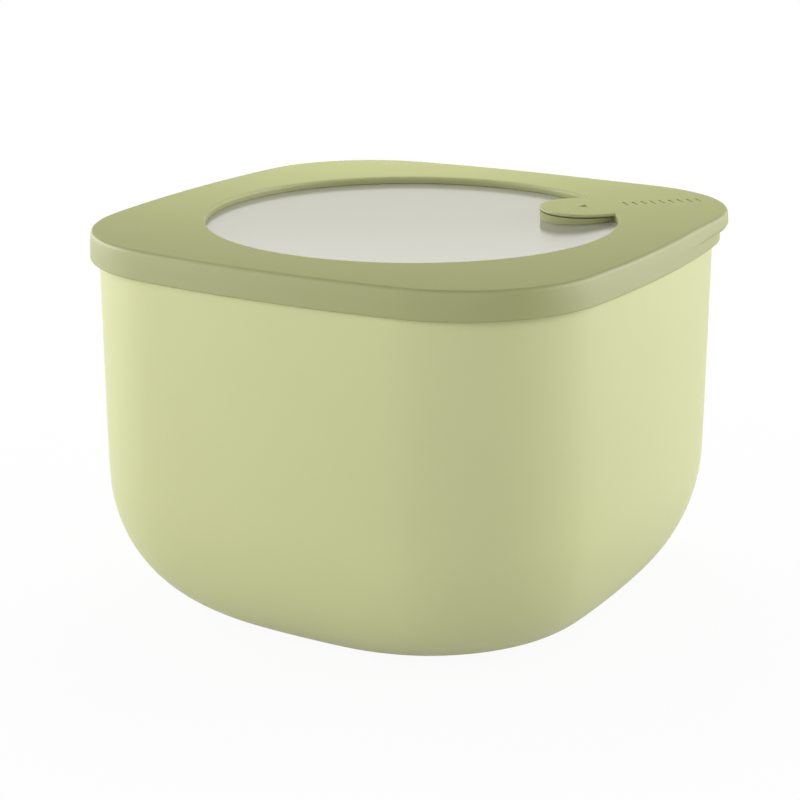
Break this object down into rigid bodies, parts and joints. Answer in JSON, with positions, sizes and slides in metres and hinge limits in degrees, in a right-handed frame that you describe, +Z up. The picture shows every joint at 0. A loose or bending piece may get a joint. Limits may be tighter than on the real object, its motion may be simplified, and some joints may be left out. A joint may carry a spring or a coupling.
{
  "type": "airtight food container",
  "caption": "Deep food container with a rounded square light green tub and a soft olive lid that has a round window, an inner seal ring, a corner pull lip and a lift-up vent flap.",
  "frame": {"origin": "centre of the round foot, on the surface that the container stands on", "axes": "+Z up through the lid; +X and +Y square to two flat sides, with the vent flap and the pull lip at the corner between +X and +Y"},
  "size_m": [0.1886, 0.1886, 0.1317],
  "materials": {
    "body_plastic": "light green, fine satin",
    "lid_plastic": "olive green, soft matte",
    "pane_plastic": "pale grey, frosted through, glossy outside",
    "seal_rubber": "off-white, soft matte"
  },
  "bodies": {
    "tub": {"container_body": "body_plastic"},
    "lid": {"lid_frame": "lid_plastic", "window_pane": "pane_plastic", "seal_ring": "seal_rubber", "vent_seat": "lid_plastic"},
    "flap": {"vent_tab": "lid_plastic", "vent_plug": "seal_rubber"}
  },
  "joints": [
    {"name": "lid_lift", "type": "slide", "parent": "tub", "child": "lid", "axis": [0, 0, 1], "range_m": [0, 0.08]},
    {"name": "vent_tab_hinge", "type": "hinge", "parent": "lid", "child": "flap", "pos_m": [0.04809, 0.04809, 0.1317], "axis": [-0.7071, 0.7071, 0], "range_deg": [0, 120]}
  ]
}
